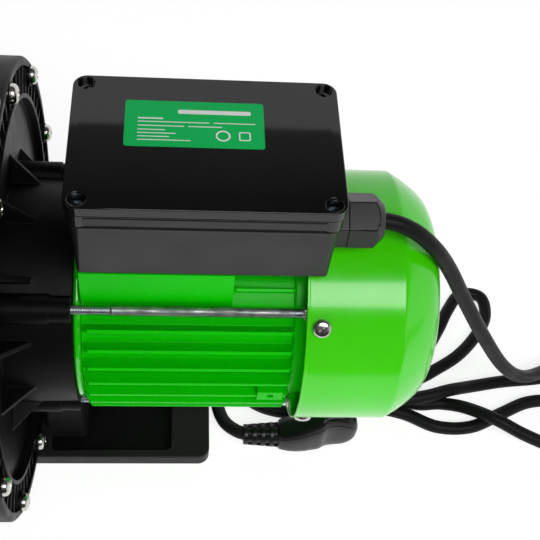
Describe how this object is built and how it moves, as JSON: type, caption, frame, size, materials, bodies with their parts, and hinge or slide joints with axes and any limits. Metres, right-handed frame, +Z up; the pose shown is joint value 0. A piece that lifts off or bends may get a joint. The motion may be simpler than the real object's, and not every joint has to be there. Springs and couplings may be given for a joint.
{
  "type": "centrifugal pump",
  "caption": "Self-priming centrifugal water pump: fan-cooled motor on a bracket and foot, volute casing, strainer pot with clear lid, pipe unions, and a mains cord with plug.",
  "frame": {"origin": "on the floor under the shaft, in the foot plate's underside", "axes": "+X along the shaft towards the fan, +Y to the back of the pump, +Z up; shaft centre at z = 0.130 m"},
  "size_m": [0.7772, 0.252, 0.323],
  "materials": {
    "black_plastic": "semi-gloss moulded",
    "pot_plastic": "satin moulded",
    "box_plastic": "satin moulded",
    "lid_plastic": "gloss",
    "gland_plastic": "satin moulded",
    "ivory_plastic": "matt moulded",
    "clear_plastic": "clear polycarbonate",
    "green_sheet": "gloss enamel",
    "green_casting": "satin enamel",
    "zinc_steel": "zinc plated",
    "shaft_steel": "ground",
    "bearing_steel": "ground",
    "core_steel": "laminated",
    "winding": "varnished wire",
    "rubber": "matt",
    "cord_rubber": "satin",
    "ceramic": "glazed",
    "carbon": "matt",
    "brass": "turned",
    "pin_metal": "plated",
    "label": "printed film"
  },
  "bodies": {
    "pump": {"base_foot": "black_plastic", "base_screws": "zinc_steel", "motor_bracket": "black_plastic", "casing_screws": "zinc_steel", "casing_nuts": "zinc_steel", "casing_seal": "rubber", "pump_casing": "black_plastic", "diffuser": "ivory_plastic", "seal_seat": "ceramic", "strainer_pot": "pot_plastic", "pot_gasket": "rubber", "pot_bolts": "zinc_steel", "lid_seal": "rubber", "drain_plugs": "pot_plastic", "union_tails": "pot_plastic", "union_seals": "rubber", "front_bearing_outer": "bearing_steel", "rear_bearing_outer": "bearing_steel", "wave_washer": "bearing_steel", "front_end_shield": "green_casting", "rear_end_shield": "green_casting", "stator_frame": "green_casting", "stator_core": "core_steel", "stator_windings": "winding", "tie_rods": "zinc_steel", "tie_rod_nuts": "zinc_steel", "fan_cover": "green_sheet", "fan_cover_screws": "zinc_steel", "terminal_box": "box_plastic", "box_gasket": "rubber", "box_lid": "lid_plastic", "box_screws": "zinc_steel", "rating_label": "label", "run_capacitor": "ivory_plastic", "capacitor_clamp": "zinc_steel", "terminal_block": "ivory_plastic", "gland_body": "gland_plastic", "gland_nut": "gland_plastic", "gland_seal": "rubber", "power_cord": "cord_rubber", "plug_body": "gland_plastic", "plug_pins": "pin_metal"},
    "rotor": {"shaft": "shaft_steel", "rotor_core": "core_steel", "front_bearing_inner": "bearing_steel", "front_bearing_balls": "bearing_steel", "rear_bearing_inner": "bearing_steel", "rear_bearing_balls": "bearing_steel", "cooling_fan": "gland_plastic", "fan_clip": "bearing_steel", "impeller": "ivory_plastic", "impeller_nut": "brass", "seal_head": "carbon", "seal_spring": "shaft_steel", "slinger": "rubber"},
    "lid": {"strainer_lid": "clear_plastic"},
    "lock_ring": {"lock_ring": "pot_plastic"},
    "basket": {"strainer_basket": "ivory_plastic"},
    "suction_nut": {"suction_nut": "pot_plastic"},
    "discharge_nut": {"discharge_nut": "pot_plastic"}
  },
  "joints": [
    {"name": "shaft_spin", "type": "hinge", "parent": "pump", "child": "rotor", "pos_m": [0, 0, 0.13], "axis": [1, 0, 0], "continuous": true},
    {"name": "lid_lift", "type": "slide", "parent": "pump", "child": "lid", "axis": [0, 0, 1], "range_m": [0, 0.15]},
    {"name": "lock_ring_turn", "type": "hinge", "parent": "lid", "child": "lock_ring", "pos_m": [-0.23, 0, 0.236], "axis": [0, 0, 1], "range_deg": [0, 35]},
    {"name": "basket_lift", "type": "slide", "parent": "pump", "child": "basket", "axis": [0, 0, 1], "range_m": [0, 0.09]},
    {"name": "suction_nut_turn", "type": "hinge", "parent": "pump", "child": "suction_nut", "pos_m": [-0.336, 0, 0.152], "axis": [-1, 0, 0], "continuous": true},
    {"name": "discharge_nut_turn", "type": "hinge", "parent": "pump", "child": "discharge_nut", "pos_m": [-0.095, 0, 0.28], "axis": [0, 0, 1], "continuous": true}
  ],
  "couplings": [
    {"joint": "basket_lift", "follows": "lid_lift", "ratio": 0.6}
  ]
}
